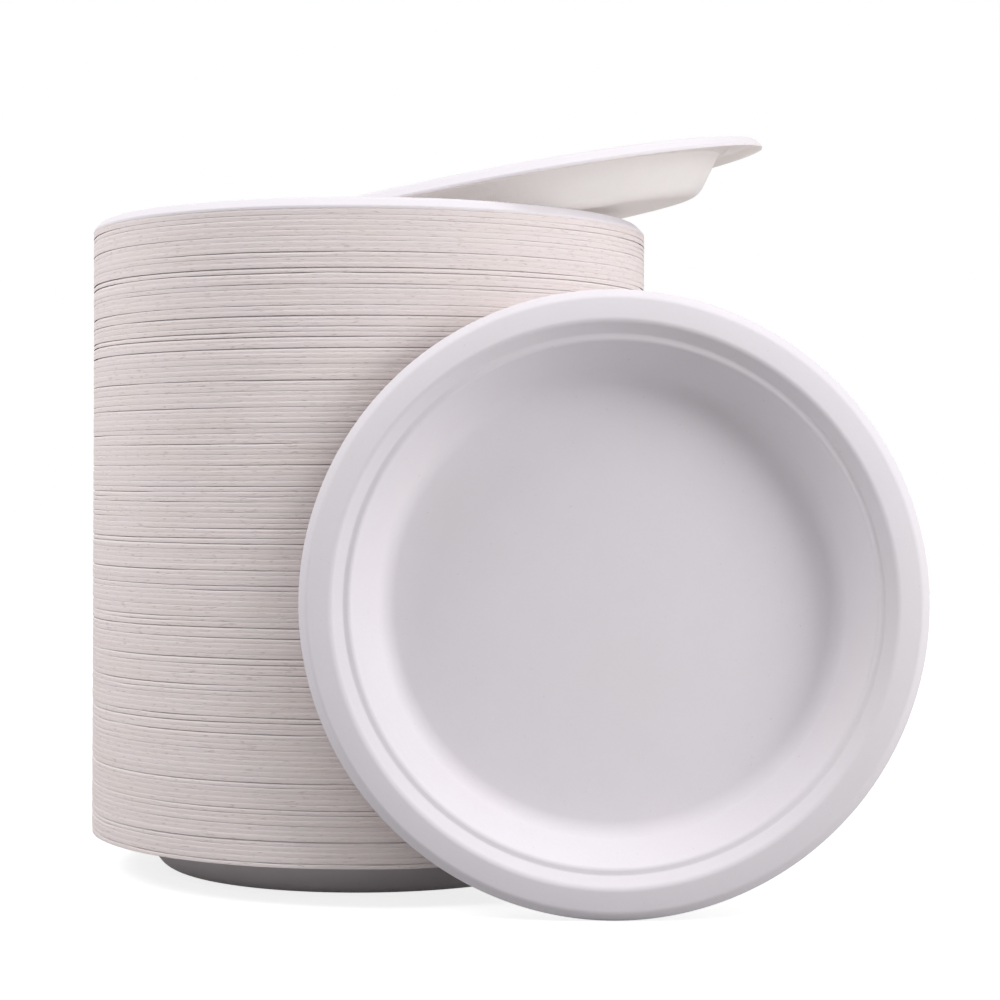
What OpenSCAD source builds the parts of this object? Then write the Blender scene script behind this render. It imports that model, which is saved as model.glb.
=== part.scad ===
// A tall stack of round moulded pulp plates, nested one in another.
// One more plate lies askew on the top, and one stands on its rim and leans on the front.
// The origin is the centre of the lowest plate's base, where it stands on the table.

/* [Plate] */
// Diameter over the trimmed edge of the rim
plate_d = 225; // [205:1:245]
// Height from the base to the crest of the rim
plate_h = 20; // [18:0.5:23]
// Thickness of the moulded sheet
sheet_t = 0.8; // [0.6:0.05:1]
// Slope of the side wall
wall_a = 54; // [48:1:58]
// Radius between the floor and the side wall, on the food side
floor_r = 8; // [5:0.5:11]

/* [Rim] */
// Width of the lip, from the crest out to the trimmed edge
lip_w = 10.8; // [9.5:0.1:13]
// Drop of the lip, from the crest to the bottom of the trimmed edge
lip_drop = 5.4; // [4.8:0.1:6.2]
// Slope of the broad outer face of the lip
lip_a = 9; // [6:1:12]
// Slope of the turned-down edge
edge_a = 46; // [40:1:52]
// Radius of the crest, on the food side
crest_r = 3; // [2:0.1:4]
// Slope of the inner face of the rim
inner_a = 40; // [35:1:45]
// Depth of the ledge below the crest
ledge_drop = 3.4; // [2.8:0.1:4]
// Width of the flat ledge between the rim and the side wall
ledge_w = 2.4; // [2.2:0.1:3.4]
// Inside radius of the small bends of the rim
bend_r = 1.2; // [0.8:0.1:1.5]

/* [Stack] */
// Plates in each group of the stack, between the lowest and the uppermost plate
group_plates = 3; // [1:1:4]
// Free gap between the side walls of two nested plates
nest_gap = 0.34; // [0.25:0.01:0.6]
// Share of the nest gap by which a plate sits high or low
lift_share = 0.3; // [0:0.05:0.4]
// Share of the nest gap by which a plate sits to one side
side_share = 0.18; // [0:0.02:0.2]
// Share of the nest gap by which the rim of a plate rocks up and down
rock_share = 0.23; // [0:0.01:0.25]
// Distance by which the stack leans over to the right at its top
sway = 1; // [0:0.1:2]
// Distance by which the stack bows to the back halfway up
bow = 0.5; // [0:0.1:1]

/* [Loose plates] */
// Free gap where a loose plate rests on the stack
rest_gap = 0.3; // [0.2:0.05:0.4]
// Sideways shift of the plate that lies askew on the top
askew_shift = 57; // [50:0.5:60]
// Direction of that shift, turned from the right towards the back
askew_turn = 17; // [0:1:40]
// Tilt of the plate that lies askew
askew_tilt = 11; // [9:0.5:12]
// Distance of the leaning plate to the right of the stack's middle
lean_x = 95; // [60:1:110]
// Angle by which the leaning plate lies back against the stack
lean_a = 3; // [2:0.5:8]
// Turn of the leaning plate about the upright
lean_turn = -1; // [-6:0.5:2]

/* [Hidden] */
pulp_white = [0.93, 0.91, 0.92];
pulp_cream = [0.88, 0.84, 0.80];
round_fn = 120;
bend_sag = 0.07;
probe_a = 1;
groups = 41;
stack_n = groups * group_plates + 2;
plate_r = plate_d / 2;
steepest_a = max(wall_a, edge_a);
nest_rise = (sheet_t + nest_gap) / cos(steepest_a);
top_z = (stack_n - 1) * nest_rise;

// Corner points of the food side, from the outside in
edge_low = plate_h - lip_drop;
edge_high = edge_low + sheet_t / cos(edge_a);
crest_c = [plate_r - lip_w, plate_h - crest_r];
crest_out = crest_c + crest_r * [sin(lip_a), cos(lip_a)];
crest_in = crest_c + crest_r * [-sin(inner_a), cos(inner_a)];
edge_x = (edge_high + plate_r * tan(edge_a) - crest_out.y - crest_out.x * tan(lip_a))
    / (tan(edge_a) - tan(lip_a));
edge_corner = [edge_x, crest_out.y - (edge_x - crest_out.x) * tan(lip_a)];
ledge_z = plate_h - ledge_drop;
ledge_out = [crest_in.x - (crest_in.y - ledge_z) / tan(inner_a), ledge_z];
ledge_in = ledge_out - [ledge_w, 0];
floor_corner = [ledge_in.x - (ledge_z - sheet_t) / tan(wall_a), sheet_t];

// A bend is its centre, its first and last direction, and its radius on the food side.
// The sheet bends up where the centre is above it, and down where the centre is below it.
function heading(a) = [cos(a), sin(a)];
function left_of(a) = [-sin(a), cos(a)];
function bend_up(corner, a0, a1, r) =
    [corner - r * tan((a1 - a0) / 2) * heading(a0) + r * left_of(a0), a0, a1, r, -1];
function bend_down(corner, a0, a1, r) =
    [corner - r * tan((a0 - a1) / 2) * heading(a0) - r * left_of(a0), a0, a1, r, 1];
bends = [
    bend_up(floor_corner, 0, wall_a, floor_r),
    bend_down(ledge_in, wall_a, 0, bend_r + sheet_t),
    bend_up(ledge_out, 0, inner_a, bend_r),
    [crest_c, inner_a, -lip_a, crest_r, 1],
    bend_down(edge_corner, -lip_a, -edge_a, bend_r + sheet_t)
];

// Points along one bend, at a depth below the food side, close enough to leave only a small sag
function bend_points(b, depth) =
    let (steps = ceil(abs(b[2] - b[1]) / (2 * acos(1 - bend_sag / b[3]))))
    [for (i = [0:steps]) b[0] + (b[4] * b[3] - depth) * left_of(b[1] + (b[2] - b[1]) * i / steps)];
food_line = [
    [0, sheet_t],
    for (b = bends) each bend_points(b, 0),
    [plate_r, edge_high]
];
under_line = [
    [0, 0],
    for (b = bends) each bend_points(b, sheet_t),
    [plate_r, edge_low]
];
section = concat(food_line, [for (i = [len(under_line) - 1:-1:0]) under_line[i]]);

// How plate number i lies in the stack: the same small unevenness each time
function scatter(i, k) =
    let (s = sin(i * 127.1 + k * 311.7) * 43758.5453)
    2 * (s - floor(s)) - 1;
function loose(i) = i == 0 || i == stack_n - 1 ? 0 : 1;
function stack_drift(i) =
    let (u = i / (stack_n - 1))
    [sway * (1 - cos(180 * u)) / 2, bow * sin(180 * u)];
function plate_place(i) = [
    stack_drift(i).x + loose(i) * side_share * nest_gap * scatter(i, 1),
    stack_drift(i).y + loose(i) * side_share * nest_gap * scatter(i, 2),
    i * nest_rise + loose(i) * lift_share * nest_gap * scatter(i, 3)
];
rock_a = atan(rock_share * nest_gap / plate_r);
function plate_rock(i) = [
    loose(i) * rock_a * sin(180 * scatter(i, 4)),
    loose(i) * rock_a * cos(180 * scatter(i, 4)),
    0
];

// The askew plate is lowered onto the uppermost plate until its underside meets the rim
function food_z(r) = r > plate_r ? -plate_h : lookup(r, food_line);
function askew_point(p, a) = [
    askew_shift + p.x * cos(a) * cos(askew_tilt) - p.y * sin(askew_tilt),
    p.x * sin(a),
    p.x * cos(a) * sin(askew_tilt) + p.y * cos(askew_tilt)
];
askew_lift = rest_gap + max([
    for (a = [0:probe_a:360 - probe_a])
        for (p = under_line)
            let (q = askew_point(p, a))
            food_z(norm([q.x, q.y])) - q.z
]);
askew_place = plate_place(stack_n - 1)
    + [askew_shift * cos(askew_turn), askew_shift * sin(askew_turn), askew_lift];

// The leaning plate stands on its rim and is pushed back until its underside meets the stack
lean_z = plate_r * cos(lean_a) - edge_low * sin(lean_a);
function lean_point(p, a) =
    let (
        x = p.x * cos(a),
        y = p.x * sin(a) * sin(lean_a) - p.y * cos(lean_a),
        z = p.x * sin(a) * cos(lean_a) + p.y * sin(lean_a)
    )
    [lean_x + x * cos(lean_turn) - y * sin(lean_turn), x * sin(lean_turn) + y * cos(lean_turn), lean_z + z];
function stack_front(x, z) =
    let (
        i = max(0, min(stack_n - 1, round((z - edge_low) / nest_rise))),
        d = stack_drift(i),
        half = plate_r * plate_r - (x - d.x) * (x - d.x)
    )
    half > 0 && z < top_z + edge_high ? d.y - sqrt(half) : plate_d;
lean_y = min([
    for (a = [0:probe_a:360 - probe_a])
        for (p = under_line)
            let (q = lean_point(p, a))
            stack_front(q.x, q.z) - q.y
]) - rest_gap;

function two_figures(k) = k < 10 ? str("0", k) : str(k);
function group_name(g) = str("nested_plates_", two_figures(g));

// One moulded plate, its base on the plane z = 0 and its food side up
module plate() {
    rotate_extrude($fn = round_fn) polygon(section);
}

// Plate number i of the stack, counted from 0 at the table
module stacked_plate(i) {
    translate(plate_place(i)) rotate(plate_rock(i)) plate();
}

module lowest_plate() {
    color(pulp_cream) stacked_plate(0);
}

// Plates that lie next to each other in the stack, each a piece of its own
module nested_plates(g) {
    color(pulp_cream)
        for (k = [1:group_plates]) stacked_plate((g - 1) * group_plates + k);
}

module uppermost_plate() {
    color(pulp_white) stacked_plate(stack_n - 1);
}

module askew_plate() {
    color(pulp_white)
        translate(askew_place) rotate([0, 0, askew_turn]) rotate([0, -askew_tilt, 0]) plate();
}

module leaning_plate() {
    color(pulp_white)
        translate([lean_x, lean_y, lean_z]) rotate([0, 0, lean_turn]) rotate([90 - lean_a, 0, 0]) plate();
}

lowest_plate();
for (g = [1:groups]) nested_plates(g);
uppermost_plate();
askew_plate();
leaning_plate();
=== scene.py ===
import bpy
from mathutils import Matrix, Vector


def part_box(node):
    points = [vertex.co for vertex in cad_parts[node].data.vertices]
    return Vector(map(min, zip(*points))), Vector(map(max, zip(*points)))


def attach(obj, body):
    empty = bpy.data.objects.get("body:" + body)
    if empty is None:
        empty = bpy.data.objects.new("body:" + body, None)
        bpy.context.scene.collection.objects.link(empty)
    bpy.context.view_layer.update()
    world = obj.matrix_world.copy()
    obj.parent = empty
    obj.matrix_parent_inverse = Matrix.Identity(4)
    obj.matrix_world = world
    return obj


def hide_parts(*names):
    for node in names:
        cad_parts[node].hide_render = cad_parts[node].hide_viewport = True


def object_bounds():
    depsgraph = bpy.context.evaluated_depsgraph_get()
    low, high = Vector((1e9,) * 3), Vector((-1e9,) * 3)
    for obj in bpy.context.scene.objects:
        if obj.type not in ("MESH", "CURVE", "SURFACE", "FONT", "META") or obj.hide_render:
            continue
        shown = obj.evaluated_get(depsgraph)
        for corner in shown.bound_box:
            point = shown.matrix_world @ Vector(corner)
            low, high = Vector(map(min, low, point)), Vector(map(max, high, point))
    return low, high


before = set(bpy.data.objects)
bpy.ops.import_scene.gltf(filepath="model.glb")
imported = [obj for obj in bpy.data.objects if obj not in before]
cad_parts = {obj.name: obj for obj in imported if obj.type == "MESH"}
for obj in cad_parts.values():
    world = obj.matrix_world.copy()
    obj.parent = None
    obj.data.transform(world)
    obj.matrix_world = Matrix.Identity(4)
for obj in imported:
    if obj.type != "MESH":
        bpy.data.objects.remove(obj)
cad_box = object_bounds()
print("nodes in the packed model:", len(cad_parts))

# %% [markdown]
# # A stack of moulded pulp plates
# The real object is a pile of round plates pressed from wet plant fibre, one nested in the next,
# with a loose plate lying askew on the top and another standing on its rim in front.
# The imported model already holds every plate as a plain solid. This lesson dresses each of them
# with a finer skin: the same form, with the small unevenness and the felted finish of real pulp.
# A real plate could be drawn with a modifier that spins a curve. Spinning the points in code is
# chosen here, because then each plate of the stack can be a little different from its neighbours.

# %% Tools for the whole lesson
from math import acos, atan, ceil, cos, degrees, floor, pi, radians, sin, tan
import bpy
import numpy as np
from mathutils import Matrix, Vector

MM = 0.001  # the plates are drawn in millimetres, and Blender works in metres
scene = bpy.context.scene
scene.view_settings.view_transform = "Standard"

# %% [markdown]
# ## The form of one plate
# A plate is one even sheet that is bent five times on its way out: up from the floor, flat to a
# ledge, up again, over the crest, and down to the edge where the blank was trimmed.
# The values are the ones that the solids were built with. Only the bend at the turned-down edge
# is rounder here, as it is on a pressed sheet. Every length is in millimetres, every slope in
# degrees.

# %% Sizes of one plate
PLATE_R = 112.5
PLATE_H = 20.0
SHEET = 0.8
WALL_A = 54.0
FLOOR_R = 8.0
LIP_W = 10.8
LIP_DROP = 5.4
LIP_A = 9.0
EDGE_A = 46.0
CREST_R = 3.0
INNER_A = 40.0
LEDGE_DROP = 3.4
LEDGE_W = 2.4
BEND_R = 1.2
EDGE_BEND_R = 2.8

# %% Corner points of the food side
def slope(a):
    """Rise over run of a straight part at a degrees."""
    return tan(radians(a))


def heading(a):
    return np.array([cos(radians(a)), sin(radians(a))])


def left_of(a):
    return np.array([-sin(radians(a)), cos(radians(a))])


edge_low = PLATE_H - LIP_DROP
edge_high = edge_low + SHEET / cos(radians(EDGE_A))
crest_c = np.array([PLATE_R - LIP_W, PLATE_H - CREST_R])
crest_out = crest_c + CREST_R * left_of(-LIP_A)
crest_in = crest_c + CREST_R * left_of(INNER_A)
edge_x = (edge_high + PLATE_R * slope(EDGE_A) - crest_out[1] - crest_out[0] * slope(LIP_A)) / (
    slope(EDGE_A) - slope(LIP_A)
)
edge_corner = np.array([edge_x, crest_out[1] - (edge_x - crest_out[0]) * slope(LIP_A)])
ledge_z = PLATE_H - LEDGE_DROP
ledge_out = np.array([crest_in[0] - (crest_in[1] - ledge_z) / slope(INNER_A), ledge_z])
ledge_in = ledge_out - np.array([LEDGE_W, 0])
floor_corner = np.array([ledge_in[0] - (ledge_z - SHEET) / slope(WALL_A), SHEET])
print("wall foot at radius", round(floor_corner[0], 2), "mm, crest at", round(crest_c[0], 2), "mm")

# %% [markdown]
# ## Bends with a chosen fineness
# A bend is a piece of a circle. How many straight steps it needs depends on how far a chord may
# cut inside the true curve, so the fineness is given as that distance: large for the many plates
# inside the stack, small for the plates that are seen whole.

# %% The bends of the sheet
def bend(corner, a0, a1, r):
    """A round bend at corner, from heading a0 to a1, with radius r on the food side."""
    side = 1 if a1 > a0 else -1
    centre = corner - r * tan(radians(abs(a1 - a0) / 2)) * heading(a0) + side * r * left_of(a0)
    return centre, a0, a1, r, side


bends = [
    bend(floor_corner, 0, WALL_A, FLOOR_R),
    bend(ledge_in, WALL_A, 0, BEND_R + SHEET),
    bend(ledge_out, 0, INNER_A, BEND_R),
    (crest_c, INNER_A, -LIP_A, CREST_R, -1),
    bend(edge_corner, -LIP_A, -EDGE_A, EDGE_BEND_R),
]


def bend_points(one, depth, sag):
    centre, a0, a1, r, side = one
    steps = ceil(abs(a1 - a0) / (2 * degrees(acos(1 - sag / r))))
    turns = [a0 + (a1 - a0) * i / steps for i in range(steps + 1)]
    return [centre - (side * r + depth) * left_of(a) for a in turns]


print("bends in the sheet:", len(bends))

# %% The section of a plate
FACE, EDGE, BACK = 0, 1, 2  # the three finishes of a plate, in the order of its material slots
EDGE_BULGE = 0.04  # how far the middle of the trimmed edge stands out
cut_height = edge_high - edge_low


class Section:
    """Points from the middle of the food side, round the trimmed edge, to the middle of the base.
    Inside the crest only every thin-th spoke is used."""

    def __init__(self, sag, floor_rings, edge_steps, thin=1):
        food, under = self.side(0, sag, floor_rings), self.side(SHEET, sag, floor_rings)
        self.shares = np.linspace(1, 0, edge_steps + 1)  # 1 at the upper corner, 0 at the lower
        cut = [
            np.array([PLATE_R + EDGE_BULGE * sin(pi * share), edge_low + cut_height * share])
            for share in self.shares
        ]
        self.points = np.array(food + 2 * [cut[0]] + cut + under[::-1])
        self.step, self.shoulder, first = len(food), len(food) + 1, len(food) + 2
        self.cut = slice(first, first + len(cut))
        self.finish = [FACE] * first + [EDGE] * edge_steps + [BACK] * len(under)
        self.every = [1 if r > crest_c[0] else thin for r in self.points[:, 0]]

    def side(self, depth, sag, floor_rings):
        line = [np.array([r, SHEET - depth]) for r in floor_rings]
        for one in bends:
            line += bend_points(one, depth, sag)
        return line


FLOOR_RINGS = (0, 12, 24, 36, 48, 60, 70)  # their radii, on a plate that is seen whole
plain_section = Section(sag=0.3, floor_rings=FLOOR_RINGS[:1], edge_steps=3, thin=3)
fine_section = Section(sag=0.006, floor_rings=FLOOR_RINGS, edge_steps=5)
for section in (plain_section, fine_section):
    print("rings in a section:", len(section.points))

# %% [markdown]
# ## Uneven lips
# Pulp dries after it leaves the mould, and the free lip warps while the rest of the plate keeps
# its form. A few waves of random height and phase round the rim give that warp. It fades out
# towards the crest, so nested plates never push into each other.

# %% Waves round a rim
SPREAD = 0.55  # how much slow waves stand out over quick ones


class Waves:
    """A random value for each direction round one rim, at most limit away from 0."""

    def __init__(self, chance, height, orders, limit):
        self.orders = np.array(orders, float)[:, None]
        self.phases = chance.uniform(0, 2 * pi, self.orders.shape)
        strength = chance.normal(0, 1, self.orders.shape)
        self.heights = height * strength / (self.orders + 1) ** SPREAD
        self.limit = limit

    def at(self, angles):
        total = (self.heights * np.cos(self.orders * angles + self.phases)).sum(0)
        return self.limit * np.tanh(total / self.limit)


def lip_share(r):
    """0 up to the crest and 1 at the trimmed edge."""
    t = np.clip((r - crest_c[0]) / (PLATE_R - crest_c[0]), 0, 1)
    return t * t * (3 - 2 * t)


# %% [markdown]
# ## Spinning a plate
# The section is turned round the plate's axis in even steps, called spokes. Each ring of points
# is joined to the next with faces, and the two middles are closed with fans of triangles. That
# gives a closed skin, as the real sheet has, and leaves no loose faces inside.
# The trimmed edge gets its own height for each spoke: cut fibres spring open, and the edge swells
# up to a small flat step where the slope of the lip meets it. Its upper corner is rounded off:
# there the pressed face runs down over the edge and shows as a pale line.
# What the stack hides needs fewer spokes than its lips, so the rings there skip some of them.

# %% Points of a spun plate
LEAST_STEP = 0.02  # width of the flat step at the top of the edge
BEVEL_DROP = 1.4  # how far the rounded corner reaches down, as a share of its depth


def spoke_angles(spokes):
    return np.linspace(0, 2 * pi, spokes, endpoint=False)


def spun_points(section, spokes, warp, thick, bevel, dome=0.0):
    """One plate with its base at z = 0. warp, thick and bevel have one value for each spoke: how
    far the lip's edge is lifted, how high the edge stands, and how deep its corner is rounded."""
    points, angles = section.points, spoke_angles(spokes)
    r = np.repeat(points[:, :1], spokes, 1)
    z = np.repeat(points[:, 1:], spokes, 1)
    z += lip_share(points[:, 0])[:, None] * warp
    z += dome * np.clip(1 - (points[:, :1] / floor_corner[0]) ** 2, 0, 1)
    shoulder = np.maximum(thick, cut_height + bevel * slope(EDGE_A))
    step = (shoulder - cut_height) / slope(EDGE_A) + LEAST_STEP
    edge_base = edge_low + warp
    r[section.step], z[section.step] = PLATE_R - step, edge_base + cut_height + step * slope(EDGE_A)
    r[section.shoulder], z[section.shoulder] = PLATE_R - bevel, edge_base + shoulder
    z[section.cut] = edge_base + section.shares[:, None] * (thick - BEVEL_DROP * bevel)
    spun = np.stack([r * np.cos(angles), r * np.sin(angles), z], -1)
    rings = [ring[::every] for ring, every in zip(spun, section.every)]
    return np.vstack([*rings[1:-1], rings[0][:1], rings[-1][:1]])


# %% Faces of a spun plate
def strip(near, far):
    """Faces between two rings. Where one ring has more points, each face takes several of them."""
    count = min(len(near), len(far))
    on_near, on_far = len(near) // count, len(far) // count
    faces = []
    for i in range(count):
        there = [far[(i * on_far + k) % len(far)] for k in range(on_far + 1)]
        here = [near[(i * on_near + k) % len(near)] for k in range(on_near, -1, -1)]
        faces.append((*there, *here))
    return faces


def spun_faces(section, spokes):
    """Faces of one spun plate and the finish of each."""
    faces, finish, rings, start = [], [], [], 0
    for every in section.every[1:-1]:
        rings.append(list(range(start, start + spokes // every)))
        start += spokes // every
    for near, far, kind in zip(rings, rings[1:], section.finish[1:]):
        made = strip(near, far)
        faces += made
        finish += [kind] * len(made)
    top, bottom = start, start + 1
    for middle, ring, kind in ((top, rings[0], FACE), (bottom, rings[-1][::-1], BACK)):
        faces += [(middle, a, b) for a, b in zip(ring, ring[1:] + ring[:1])]
        finish += [kind] * len(ring)
    return faces, finish


# %% [markdown]
# ## Shader maths written as sums
# A finish is a network of nodes. Written node by node it is hard to read, so one small class
# stands for the output of a node, and the signs + - * on it add the Math nodes. Every other
# kind of node comes from one method that takes its type, its settings and its sockets.

# %% Sums of flows
class Flow:
    """One output in the node tree of a finish."""

    def __init__(self, finish, socket):
        self.finish = finish
        self.socket = socket

    def maths(self, operation, *values):
        sockets = dict(enumerate(values))
        return self.finish.node("ShaderNodeMath", {"operation": operation}, sockets)

    def __add__(self, other):
        return self.maths("ADD", self, other)

    def __sub__(self, other):
        return self.maths("SUBTRACT", self, other)

    def __rsub__(self, other):
        return self.maths("SUBTRACT", other, self)

    def __mul__(self, other):
        return self.maths("MULTIPLY", self, other)

    __radd__ = __add__
    __rmul__ = __mul__


# %% A finish and its nodes
ON_PLATE = "on_plate"  # where each point lies on its own plate


class Finish:
    """A material and the ways to grow its node tree."""

    def __init__(self, name):
        self.material = bpy.data.materials.new(name)
        self.material.use_nodes = True
        self.tree = self.material.node_tree
        self.tree.nodes.clear()

    def node(self, kind, settings, sockets, output=0):
        made = self.tree.nodes.new(kind)
        for name, value in settings.items():
            if name == "stops":
                self.set_stops(made.color_ramp, value)
            else:
                setattr(made, name, value)
        for key, value in sockets.items():
            if isinstance(value, Flow):
                self.tree.links.new(value.socket, made.inputs[key])
            else:
                made.inputs[key].default_value = value
        return Flow(self, made.outputs[output]) if made.outputs else None

    def set_stops(self, ramp, stops):
        while len(ramp.elements) < len(stops):
            ramp.elements.new(0.5)
        for element, (place, value) in zip(ramp.elements, stops):
            element.position = place
            element.color = (value, value, value, 1)

    def spot(self):
        """Where a point lies on its plate, before the plate was put in its pose."""
        return self.node("ShaderNodeAttribute", {"attribute_name": ON_PLATE}, {}, "Vector")

    def place(self, across, along):
        """Coordinates scaled by across in the plate's plane and by along on its axis."""
        scale = {0: self.spot(), 1: (across, across, along)}
        return self.node("ShaderNodeVectorMath", {"operation": "MULTIPLY"}, scale)

    def clouds(self, across, along, detail=2.0, roughness=0.5):
        """Soft random patches of about 1 / across by 1 / along metres, from 0 to 1."""
        sockets = {"Vector": self.place(across, along), "Scale": 1.0, "Detail": detail}
        sockets["Roughness"] = roughness
        return self.node("ShaderNodeTexNoise", {}, sockets)

    def ramp(self, flow, low, high):
        """0 below low and 1 above high."""
        stops = [(low, 0.0), (high, 1.0)]
        return self.node("ShaderNodeValToRGB", {"stops": stops}, {"Fac": flow})

    def blend(self, share, first, second):
        sockets = {0: share, 6: first, 7: second}
        return self.node("ShaderNodeMix", {"data_type": "RGBA"}, sockets, 2)

    def finish_with(self, shader):
        self.node("ShaderNodeOutputMaterial", {}, {"Surface": shader})
        return self.material


# %% Colours
def tone(red, green, blue):
    """A colour as it is read off a screen, 0 to 255, in the linear values that shaders take."""
    parts = [c / 255 for c in (red, green, blue)]
    return (*[p / 12.92 if p <= 0.04045 else ((p + 0.055) / 1.055) ** 2.4 for p in parts], 1.0)


# %% [markdown]
# ## The pressed face
# The hot mould leaves the food side smooth, matt and slightly cool in colour. Close up it is
# felt: short fibres, soft clouds where the sheet is thicker, and a few darker specks of pith.
# Three sizes of clouds carry the colour, and the same flows feed the bump, so that light and
# colour agree.

# %% Finish of the pressed face
CLOUDS, FELT, FIBRES = 60, 700, 2600  # how fine each pattern is: patches in a metre
SPECKS, WARM_PATCHES = 900, 14
RELIEF = 0.0002  # metres from the lowest to the highest point of the felt


def pressed_pulp(name, light, deep, warm):
    made = Finish(name)
    clouds = made.clouds(CLOUDS, CLOUDS, 3.0)
    felt = made.clouds(FELT, FELT, 3.0, 0.6)
    fibre = made.clouds(FIBRES, FIBRES, 2.0, 0.6)
    specks = made.ramp(made.clouds(SPECKS, SPECKS, 1.0), 0.76, 0.80)
    warmth = made.ramp(made.clouds(WARM_PATCHES, WARM_PATCHES, 1.0), 0.45, 0.75)
    base = made.blend(clouds * 0.5 + felt * 0.5, deep, light)
    base = made.blend(warmth * 0.35, base, warm)
    base = made.blend(specks * 0.35, base, PITH)
    relief = clouds * 0.5 + felt * 0.35 + fibre * 0.15
    height = {"Strength": 0.35, "Distance": RELIEF, "Height": relief}
    bump = made.node("ShaderNodeBump", {}, height)
    sockets = {"Base Color": base, "Roughness": 0.68 + felt * 0.14, "Normal": bump}
    sockets["Specular IOR Level"] = 0.3
    return made.finish_with(made.node("ShaderNodeBsdfPrincipled", {}, sockets))


PITH = tone(196, 184, 172)
WHITE_TONES = (tone(232, 227, 233), tone(224, 219, 224), tone(228, 222, 222))
CREAM_TONES = (tone(246, 238, 237), tone(238, 229, 228), tone(241, 232, 224))
pressed_white = pressed_pulp("pressed_white", *WHITE_TONES)
pressed_cream = pressed_pulp("pressed_cream", *CREAM_TONES)
print("finishes made:", pressed_white.name, pressed_cream.name)

# %% [markdown]
# ## Light through the sheet
# A single sheet of pulp is thin enough for some light to come through, warm in tone. In the stack
# and behind the leaning plate little light comes from the back. The askew plate hangs free with
# the lamps above it, and in the photo its shaded underside is almost as light as its face. So the
# back of this one plate lets light through, which takes more time to work out than a plain
# surface. Its face and its edge stay plain: they would lose light and turn a cold grey.

# %% How deep light goes
GLOW_DEPTH = (1.0, 0.86, 0.78)  # how far red, green and blue go, in units of the depth given
NO_GLOW, FREE_GLOW = 0.0, 0.008  # depths in metres


def lets_light_through(sockets, depth):
    """The same sockets, with those that let light through to depth."""
    sockets["Subsurface Weight"] = 1.0 if depth else 0.0
    sockets["Subsurface Radius"] = GLOW_DEPTH
    sockets["Subsurface Scale"] = depth
    return sockets


print("light goes", round(FREE_GLOW / MM, 1), "mm deep into the back of the askew plate")

# %% [markdown]
# ## The back
# The other half of the mould is a fine wire screen that lets the water out, so the back of a
# plate keeps a faint weave of tiny dimples. Two crossed sets of fine waves, multiplied, give the
# dimples of a plain woven screen.

# %% Finish of the back
SCREEN_PITCH = 0.0009  # metres from one wire to the next
WAVE_PER_SCALE = 3.2  # a band texture repeats about this often for each unit of its scale


def screened_pulp(name, light, deep, depth):
    made = Finish(name)
    wires = []
    for direction in ("X", "Y"):
        settings = {"wave_type": "BANDS", "bands_direction": direction}
        sockets = {"Vector": made.spot(), "Scale": 1 / SCREEN_PITCH / WAVE_PER_SCALE}
        sockets |= {"Distortion": 0.6, "Detail": 1.0}
        wires.append(made.node("ShaderNodeTexWave", settings, sockets, 1))
    clouds = made.clouds(CLOUDS, CLOUDS, 3.0)
    felt = made.clouds(FELT, FELT, 3.0, 0.6)
    base = made.blend(clouds * 0.5 + felt * 0.5, deep, light)
    relief = wires[0] * wires[1] * 0.3 + felt * 0.4 + clouds * 0.3
    height = {"Strength": 0.3, "Distance": RELIEF, "Height": relief}
    bump = made.node("ShaderNodeBump", {}, height)
    sockets = {"Base Color": base, "Roughness": 0.78 + felt * 0.12, "Normal": bump}
    sockets["Specular IOR Level"] = 0.25
    shader = made.node("ShaderNodeBsdfPrincipled", {}, lets_light_through(sockets, depth))
    return made.finish_with(shader)


SCREEN_TONES = (tone(233, 226, 228), tone(224, 217, 218))
# The askew plate's back is a warmer copy of the screen tones. The extra warmth is a painted glow of
# light coming through the sheet, on top of the light that the subsurface really carries.
SCREEN_TONES_WITH_PAINTED_GLOW = (tone(231, 221, 219), tone(221, 211, 209))
screened_white = screened_pulp("screened_white", *SCREEN_TONES, NO_GLOW)
screened_askew = screened_pulp("screened_askew", *SCREEN_TONES_WITH_PAINTED_GLOW, FREE_GLOW)
screened_cream = screened_pulp("screened_cream", *SCREEN_TONES, NO_GLOW)
print("finishes made:", screened_white.name, screened_askew.name, screened_cream.name)

# %% [markdown]
# ## The trimmed edge
# Where the blank was cut, the inside of the sheet shows: rough and fibrous, and each plate a little
# different from the next. Clouds that are long round the plate and very thin along its axis give
# every edge its own tone, and thinner ones give the torn fibres. In the stack the edge is a darker,
# warm rose beige: partly the fibres' own tone, partly painted shade from the close lips around it.
# The plates that lie open get the paler edge.

# %% Finish of the trimmed edge
LAYERS, STREAKS, GRAIN = (9, 620), (170, 2300), (1500, 1900)  # patches in a metre: round, up
TORN, WARM_STREAKS = (260, 1700), (30, 90)
TORN_RELIEF = 0.0003  # metres from the lowest to the highest point of the torn fibres


def trimmed_pulp(name, light, deep, yellow, torn_tone):
    made = Finish(name)
    layers = made.clouds(*LAYERS, 1.0)
    streaks = made.clouds(*STREAKS, 3.0, 0.6)
    grain = made.clouds(*GRAIN, 2.0, 0.6)
    torn = made.ramp(made.clouds(*TORN, 2.0), 0.60, 0.72)
    warmth = made.ramp(made.clouds(*WARM_STREAKS, 1.0), 0.42, 0.70)
    base = made.blend(layers * 0.45 + streaks * 0.55, deep, light)
    base = made.blend(warmth * 0.4, base, yellow)
    base = made.blend(torn * 0.5, base, torn_tone)
    relief = streaks * 0.6 + grain * 0.4 - torn * 0.3
    height = {"Strength": 0.6, "Distance": TORN_RELIEF, "Height": relief}
    bump = made.node("ShaderNodeBump", {}, height)
    sockets = {"Base Color": base, "Roughness": 0.86 + grain * 0.1, "Normal": bump}
    sockets["Specular IOR Level"] = 0.15
    return made.finish_with(made.node("ShaderNodeBsdfPrincipled", {}, sockets))


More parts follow.
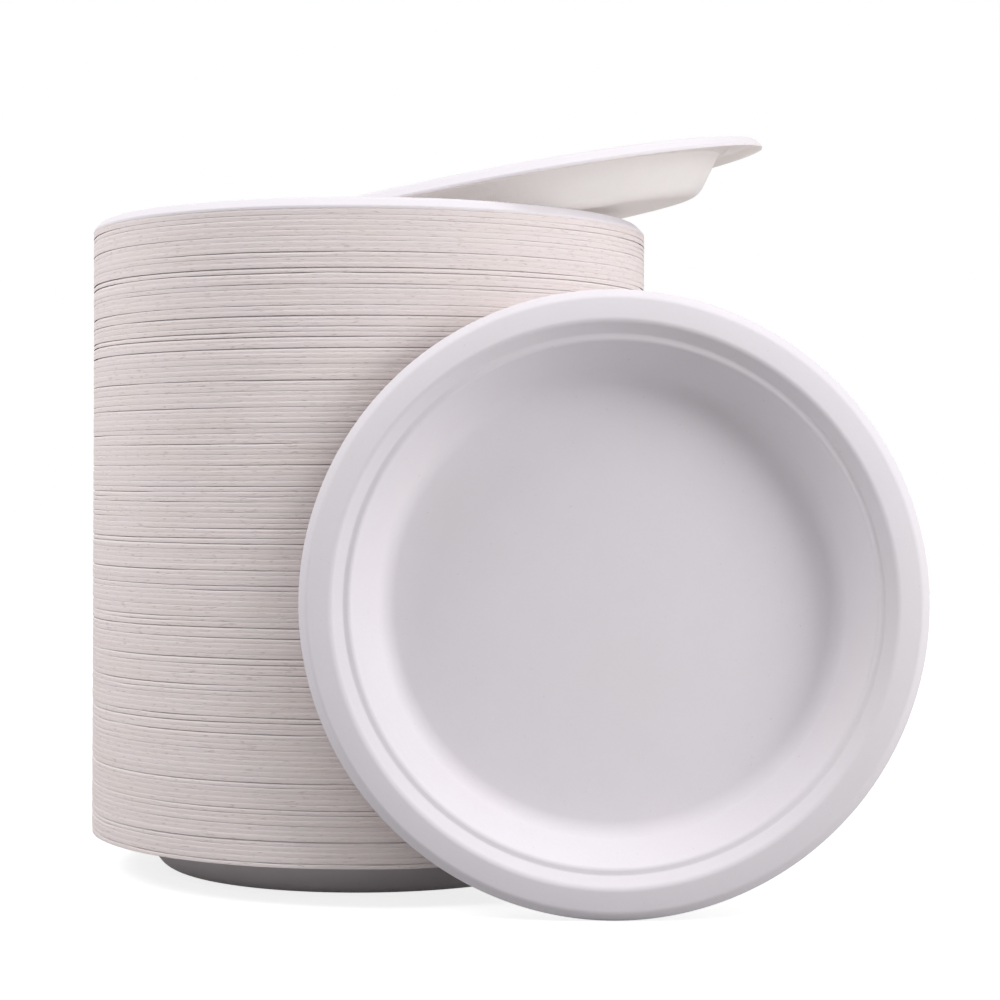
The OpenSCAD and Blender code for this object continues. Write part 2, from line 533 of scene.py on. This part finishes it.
WHITE_EDGE = (tone(240, 233, 238), tone(230, 223, 227), tone(236, 228, 225), tone(216, 207, 205))
# The stack's edge tones are darker and warmer than the open plates' edge: partly fibre tone, partly
# painted shade between the nested lips.
CREAM_EDGE_WITH_PAINTED_SHADE = (tone(245, 234, 234), tone(228, 216, 216), tone(235, 225, 216), tone(196, 182, 175))
trimmed_white = trimmed_pulp("trimmed_white", *WHITE_EDGE)
trimmed_cream_painted_shade = trimmed_pulp("trimmed_cream_painted_shade", *CREAM_EDGE_WITH_PAINTED_SHADE)
print("finishes made:", trimmed_white.name, trimmed_cream_painted_shade.name)
WHITE_FINISHES = (pressed_white, trimmed_white, screened_white)
ASKEW_FINISHES = (pressed_white, trimmed_white, screened_askew)
STACK_FINISHES = (pressed_cream, trimmed_cream_painted_shade, screened_cream)

# %% [markdown]
# ## One piece of the scene for each node
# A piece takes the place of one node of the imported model: the node stays there for the physics
# and is hidden here. A piece may hold several plates. Its faces keep three material slots, for
# the pressed face, the trimmed edge and the back.

# %% Make a piece from plates
SHARP_A = 34  # degrees between faces, past which an edge stays crisp
STILL = Matrix.Identity(4)


def placed(points, matrix):
    m = np.array(matrix)
    return points @ m[:3, :3].T + m[:3, 3]


def make_piece(name, node, finishes, plates, spun, pose=STILL):
    """plates is a list of point sets, and spun the faces and finishes that each of them has. The
    pose goes into the points, and where they were before it is kept for the finishes."""
    faces, finish = spun
    one = len(plates[0])
    all_faces = [tuple(v + i * one for v in face) for i in range(len(plates)) for face in faces]
    points = np.vstack(plates)
    mesh = bpy.data.meshes.new(name)
    mesh.from_pydata((placed(points, pose) * MM).tolist(), [], all_faces)
    kept = mesh.attributes.new(ON_PLATE, "FLOAT_VECTOR", "POINT")
    kept.data.foreach_set("vector", (points * MM).ravel())
    for material in finishes:
        mesh.materials.append(material)
    mesh.polygons.foreach_set("material_index", np.tile(finish, len(plates)).astype(np.int32))
    mesh.shade_smooth()
    mesh.set_sharp_from_angle(angle=radians(SHARP_A))
    piece = bpy.data.objects.new(name, mesh)
    scene.collection.objects.link(piece)
    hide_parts(node)
    return piece


# %% [markdown]
# ## The nested stack
# The plates sit at an even rise, which follows from the sheet and the free gap between two
# walls. Each one also lies a hair high or low, to one side, and rocked. The small rule that gives
# this unevenness is the same as in the solids, so that skin and solid stay together.

# %% Places of the stacked plates
GROUPS = 41
GROUP_PLATES = 3
STACK_N = GROUPS * GROUP_PLATES + 2
NEST_GAP = 0.34
LIFT_SHARE = 0.3
SIDE_SHARE = 0.18
ROCK_SHARE = 0.23
SWAY = 1.0
BOW = 0.5
nest_rise = (SHEET + NEST_GAP) / cos(radians(max(WALL_A, EDGE_A)))
rock_a = atan(ROCK_SHARE * NEST_GAP / PLATE_R)


def scatter(i, k):
    """A value from -1 to 1 that looks random and is always the same for plate i and use k."""
    s = sin(radians(i * 127.1 + k * 311.7)) * 43758.5453
    return 2 * (s - floor(s)) - 1


def stack_matrix(i):
    """Where plate number i lies, counted from 0 at the table."""
    u = i / (STACK_N - 1)
    loose = 0 if i in (0, STACK_N - 1) else 1
    x = SWAY * (1 - cos(pi * u)) / 2 + loose * SIDE_SHARE * NEST_GAP * scatter(i, 1)
    y = BOW * sin(pi * u) + loose * SIDE_SHARE * NEST_GAP * scatter(i, 2)
    z = i * nest_rise + loose * LIFT_SHARE * NEST_GAP * scatter(i, 3)
    turn = pi * scatter(i, 4)
    tip_x, tip_y = loose * rock_a * sin(turn), loose * rock_a * cos(turn)
    rock = Matrix.Rotation(tip_y, 4, "Y") @ Matrix.Rotation(tip_x, 4, "X")
    return Matrix.Translation((x, y, z)) @ rock


print("plates in the stack:", STACK_N, "with a rise of", round(nest_rise, 2), "mm")

# %% [markdown]
# ## Joints between the lips
# Seen from the side, the stack is all trimmed edges. Most of them lie tight on each other, and
# only here and there a joint opens to a dark line with the lit slope of the next lip below it.
# So the joints are drawn first: each has a width for each direction, mostly a hair and seldom
# wide, and the trimmed edge of the plate below is as high as the joint leaves room for.

# %% Warps and joints of the whole stack
chance = np.random.default_rng(41)
LIP_ORDERS = (0, 1, 2, 3, 5, 8, 13)
JOINT_ORDERS = (0, 1, 2, 3, 4, 6, 9, 14, 22, 35)
JOINT_HAIR, JOINT_HALF, JOINT_OPEN = 0.015, 0.06, 0.16  # widths in millimetres
JOINT_MIX = (0.52, 0.26, 0.22)  # how often each of them comes
JOINT_LEAST, JOINT_MOST = 0.01, 0.24
joint_width = chance.choice((JOINT_HAIR, JOINT_HALF, JOINT_OPEN), STACK_N, p=JOINT_MIX)
JOINT_WAVE, JOINT_WAVE_MOST = 0.75, 1.6  # how its width varies, as powers of e
LIP_WAVE, LIP_WAVE_MOST = 0.10, 0.20  # millimetres up and down
joint_waves = [Waves(chance, JOINT_WAVE, JOINT_ORDERS, JOINT_WAVE_MOST) for i in range(STACK_N)]
lip_waves = [Waves(chance, LIP_WAVE, LIP_ORDERS, LIP_WAVE_MOST) for i in range(STACK_N)]
SLOW_TWO, SLOW_THREE = 0.14, 0.10  # heights of the slow waves with two and with three crests
TURN_TWO, TURN_THREE = 0.09, -0.05  # how far they wander from one plate to the next, in radians
RAG = 0.008  # raggedness of the cut
LEAST_EDGE = 0.9  # the lowest a trimmed edge may be, as a share of its plain height
BEVEL_SHARE, BEVEL_LEAST, BEVEL_MOST = 1.8, 0.01, 0.38  # a wide joint shows a rounder corner
OPEN_BEVEL = 0.15  # rounding of an edge that no other plate covers
counts = np.unique(joint_width, return_counts=True)[1]
print("narrow, half open and wide joints:", counts.tolist())

# %% Height of each trimmed edge
def lip_warp(i, angles):
    """Warp of lip number i: its own, and slow waves that wander round on the way up the stack."""
    two = SLOW_TWO * np.cos(2 * angles + TURN_TWO * i)
    three = SLOW_THREE * np.cos(3 * angles + TURN_THREE * i + 1)
    return lip_waves[i].at(angles) + (two + three)


def lip_height(i, angles, warp):
    """Height over the table of the lower corner of lip number i."""
    x, y, z, shift = stack_matrix(i)[2]
    sideways = x * PLATE_R * np.cos(angles) + y * PLATE_R * np.sin(angles)
    return sideways + z * (edge_low + warp) + shift


def edge_form(i, angles):
    """Height of the trimmed edge of plate number i, and the depth of its rounded corner."""
    if i == STACK_N - 1:
        return np.full(angles.shape, cut_height), np.full(angles.shape, OPEN_BEVEL)
    low, above = lip_warp(i, angles), lip_warp(i + 1, angles)
    room = lip_height(i + 1, angles, above) - lip_height(i, angles, low)
    joint = joint_width[i] * np.exp(joint_waves[i].at(angles))
    joint = np.clip(joint + chance.normal(0, RAG, angles.shape), JOINT_LEAST, JOINT_MOST)
    bevel = np.clip(BEVEL_SHARE * joint, BEVEL_LEAST, BEVEL_MOST)
    return np.maximum(room - joint, cut_height * LEAST_EDGE), bevel


# %% Spin the stacked plates
STACK_SPOKES = 144


def stacked_plate(i, section, spokes):
    angles = spoke_angles(spokes)
    points = spun_points(section, spokes, lip_warp(i, angles), *edge_form(i, angles))
    return placed(points, stack_matrix(i))


def triangles(piece):
    return sum(len(face.vertices) - 2 for face in piece.data.polygons)


total = 0
spun = spun_faces(plain_section, STACK_SPOKES)
for group in range(1, GROUPS + 1):
    first = (group - 1) * GROUP_PLATES + 1
    plates = [stacked_plate(first + k, plain_section, STACK_SPOKES) for k in range(GROUP_PLATES)]
    name = f"pulp_plates_{group:02d}"
    node = f"nested_plates_{group:02d}"
    piece = make_piece(name, node, STACK_FINISHES, plates, spun)
    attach(piece, "root")
    total += triangles(piece)
print("stacked plates:", GROUPS * GROUP_PLATES, "of", total, "triangles in all")

# %% [markdown]
# ## The lowest and the uppermost plate
# These two end the stack, and more of them is seen: the underside of the first, and the food
# side and the broad lip of the last. They are spun with finer bends and more spokes.

# %% Spin the two end plates
FINE_SPOKES = 240
ends = (
    ("pulp_plate_lowest", "lowest_plate", "pulp_cream", STACK_FINISHES, 0),
    ("pulp_plate_uppermost", "uppermost_plate", "pulp_white", WHITE_FINISHES, STACK_N - 1),
)
spun = spun_faces(fine_section, FINE_SPOKES)
for name, node, slot, finishes, i in ends:
    points = stacked_plate(i, fine_section, FINE_SPOKES)
    piece = make_piece(name, node, finishes, [points], spun)
    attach(piece, "root")
    total += triangles(piece)
    print(name, "made with", triangles(piece), "triangles")

# %% [markdown]
# ## The two loose plates
# They are the same plate again, in other poses. The pattern of the finish has to turn with the
# plate. An object could carry the pose, but its box would then be a loose fit. So the pose goes
# into the points, and each point also keeps its place on the plate, which the finishes read.

# %% Poses of the loose plates
ASKEW_PLACE = (55.5094, 16.6652, 259.654)
ASKEW_TURN = 17.0
ASKEW_TILT = 11.0
LEAN_PLACE = (95.0, -113.284, 111.582)
LEAN_A = 3.0
LEAN_TURN = -1.0


def spin(a, axis):
    return Matrix.Rotation(radians(a), 4, axis)


askew_turned = spin(ASKEW_TURN, "Z") @ spin(-ASKEW_TILT, "Y")
lean_turned = spin(LEAN_TURN, "Z") @ spin(90 - LEAN_A, "X")
askew_pose = Matrix.Translation(ASKEW_PLACE) @ askew_turned
lean_pose = Matrix.Translation(LEAN_PLACE) @ lean_turned
print("tilt of the askew plate:", ASKEW_TILT, "degrees; the other leans back by", LEAN_A)

# %% Spin the loose plates
LOOSE_SPOKES = 288
LOOSE_ORDERS, LOOSE_WAVE, LOOSE_WAVE_MOST = (1, 2, 3, 5), 0.12, 0.25  # warp of the lip
BURR_ORDERS, BURR_WAVE, BURR_WAVE_MOST = (2, 3, 7, 15, 31), 0.04, 0.08  # swelling of the edge
FLOOR_DOME = 0.15  # how much the middle of the floor stands up
loose_plates = (
    ("pulp_plate_askew", "askew_plate", ASKEW_FINISHES, askew_pose),
    ("pulp_plate_leaning", "leaning_plate", WHITE_FINISHES, lean_pose),
)
angles = spoke_angles(LOOSE_SPOKES)
spun = spun_faces(fine_section, LOOSE_SPOKES)
for name, node, finishes, pose in loose_plates:
    warp = Waves(chance, LOOSE_WAVE, LOOSE_ORDERS, LOOSE_WAVE_MOST).at(angles)
    thick = cut_height + Waves(chance, BURR_WAVE, BURR_ORDERS, BURR_WAVE_MOST).at(angles)
    bevel = np.full(angles.shape, OPEN_BEVEL)
    points = spun_points(fine_section, LOOSE_SPOKES, warp, thick, bevel, FLOOR_DOME)
    piece = make_piece(name, node, finishes, [points], spun, pose)
    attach(piece, "root")
    total += triangles(piece)
    reach, solid_reach = max(corner[2] for corner in piece.bound_box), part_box(node)[1].z
    print(name, "reaches", round(reach / MM, 2), "mm; its solid", round(solid_reach / MM, 2), "mm")
print("triangles of all plates:", total)

# %% [markdown]
# ## Floor and background
# The photo shows the plates on plain white, and the underside of the lowest plate is dark. The
# floor is a light grey sheet that really receives the shadows and throws little light up. For
# the camera alone it is lifted by some light of its own, so that it runs into the white
# background without a visible horizon and still keeps the soft shadow.

# %% White surroundings
FLOOR_GREY = 0.42
FLOOR_GLOW = 0.80  # light of the floor's own near the plates, where 1 is white
GLOW_NEAR, GLOW_FAR = 0.30, 0.90  # metres from the stack, over which the glow grows to full white


def seen_directly(made):
    """1 for rays that show the background straight, in a mirror or through glass."""
    path = made.tree.nodes.new("ShaderNodeLightPath").outputs
    parts = [Flow(made, path[n]) for n in ("Is Camera Ray", "Is Glossy Ray", "Is Transmission Ray")]
    return parts[0].maths("MAXIMUM", parts[0].maths("MAXIMUM", parts[0], parts[1]), parts[2])


def floor_finish():
    made = Finish("floor_sheet")
    grey = (FLOOR_GREY, FLOOR_GREY, FLOOR_GREY, 1)
    sheet = made.node("ShaderNodeBsdfDiffuse", {}, {"Color": grey})
    spot = made.node("ShaderNodeTexCoord", {}, {}, "Object")
    away = made.node("ShaderNodeVectorMath", {"operation": "LENGTH"}, {0: spot}, "Value")
    reach = {"Value": away, "From Min": GLOW_NEAR, "From Max": GLOW_FAR, "To Min": FLOOR_GLOW}
    glow = made.node("ShaderNodeMapRange", {"interpolation_type": "SMOOTHSTEP"}, reach)
    light = made.node("ShaderNodeEmission", {}, {"Color": (1, 1, 1, 1), "Strength": glow})
    for_eye = made.node("ShaderNodeAddShader", {}, {0: sheet, 1: light})
    both = {0: seen_directly(made), 1: sheet, 2: for_eye}
    return made.finish_with(made.node("ShaderNodeMixShader", {}, both))


# %% Lay the floor
FLOOR_HALF = 2.2  # metres from its middle to its sides
FLOOR_DROP = 0.0001  # metres under the lowest plate, so that the two don't share a plane
floor_mesh = bpy.data.meshes.new("floor_sheet")
corners = [(-FLOOR_HALF, -FLOOR_HALF), (FLOOR_HALF, -FLOOR_HALF), (FLOOR_HALF, FLOOR_HALF)]
corners.append((-FLOOR_HALF, FLOOR_HALF))
floor_z = cad_box[0].z - FLOOR_DROP
floor_mesh.from_pydata([(x, y, floor_z) for x, y in corners], [], [(0, 1, 2, 3)])
floor_mesh.materials.append(floor_finish())
floor_sheet = bpy.data.objects.new("floor_sheet", floor_mesh)
scene.collection.objects.link(floor_sheet)
print("floor laid at z =", round(floor_z / MM, 2), "mm")

# %% World light
AMBIENT = (0.300, 0.301, 0.306, 1)


class Surroundings(Finish):
    """The world's node tree, grown in the same way as a finish."""

    def __init__(self, world):
        world.use_nodes = True
        self.tree = world.node_tree
        self.tree.nodes.clear()


scene.world = bpy.data.worlds.new("white_room")
room = Surroundings(scene.world)
dim = room.node("ShaderNodeBackground", {}, {"Color": AMBIENT, "Strength": 1.0})
white = room.node("ShaderNodeBackground", {}, {"Color": (1, 1, 1, 1), "Strength": 1.0})
both = {0: seen_directly(room), 1: dim, 2: white}
room.node("ShaderNodeOutputWorld", {}, {"Surface": room.node("ShaderNodeMixShader", {}, both)})
print("light from all sides:", AMBIENT[:3])

# %% [markdown]
# ## Soft lamps
# The walls of the leaning plate tell where the light is: they are brightest at the lower left and
# darkest at the upper right, so the key light stands high on the right, with a second softbox
# lower down beside it. A broad one high on the left lights the left side of the stack and the
# tops, and a weak one hangs above. Large lamps give the soft edges of the shadows.

# %% Lamps
AIM = Vector((0.05, -0.02, 0.13))  # the middle of the plates


def softbox(name, place, size, power):
    """A round lamp that looks at the plates: its place and size in metres, its power in watts."""
    data = bpy.data.lights.new(name, "AREA")
    data.shape = "DISK"
    data.size = size
    data.energy = power
    lamp = bpy.data.objects.new(name, data)
    lamp.location = place
    lamp.rotation_euler = (AIM - Vector(place)).to_track_quat("-Z", "Y").to_euler()
    scene.collection.objects.link(lamp)


softbox("softbox_right", (1.35, -0.75, 0.55), 0.6, 9.4)
softbox("softbox_key", (0.94, -0.73, 1.12), 0.6, 7.0)
softbox("softbox_high_left", (-1.0, -0.3, 1.2), 0.8, 14.6)
softbox("softbox_top", (0.2, -0.2, 1.5), 0.8, 1.5)
print("lamps set:", len(bpy.data.lights))

# %% [markdown]
# ## The camera
# Straight edges are rare here, so the camera was found from the ellipses: the flat base, the
# rims and the round of the leaning plate agree with a long lens a little above half height.

# %% Camera
camera_data = bpy.data.cameras.new("camera")
camera_data.sensor_width = 36.0
camera_data.lens = 81.97
camera = bpy.data.objects.new("camera", camera_data)
camera.location = (0.0543, -0.9405, 0.1554)
LOOK_DOWN = 0.443  # degrees below the horizontal
camera.rotation_euler = (radians(90 - LOOK_DOWN), 0, 0)
scene.collection.objects.link(camera)
scene.camera = camera
print("camera placed, lens", camera_data.lens, "mm")
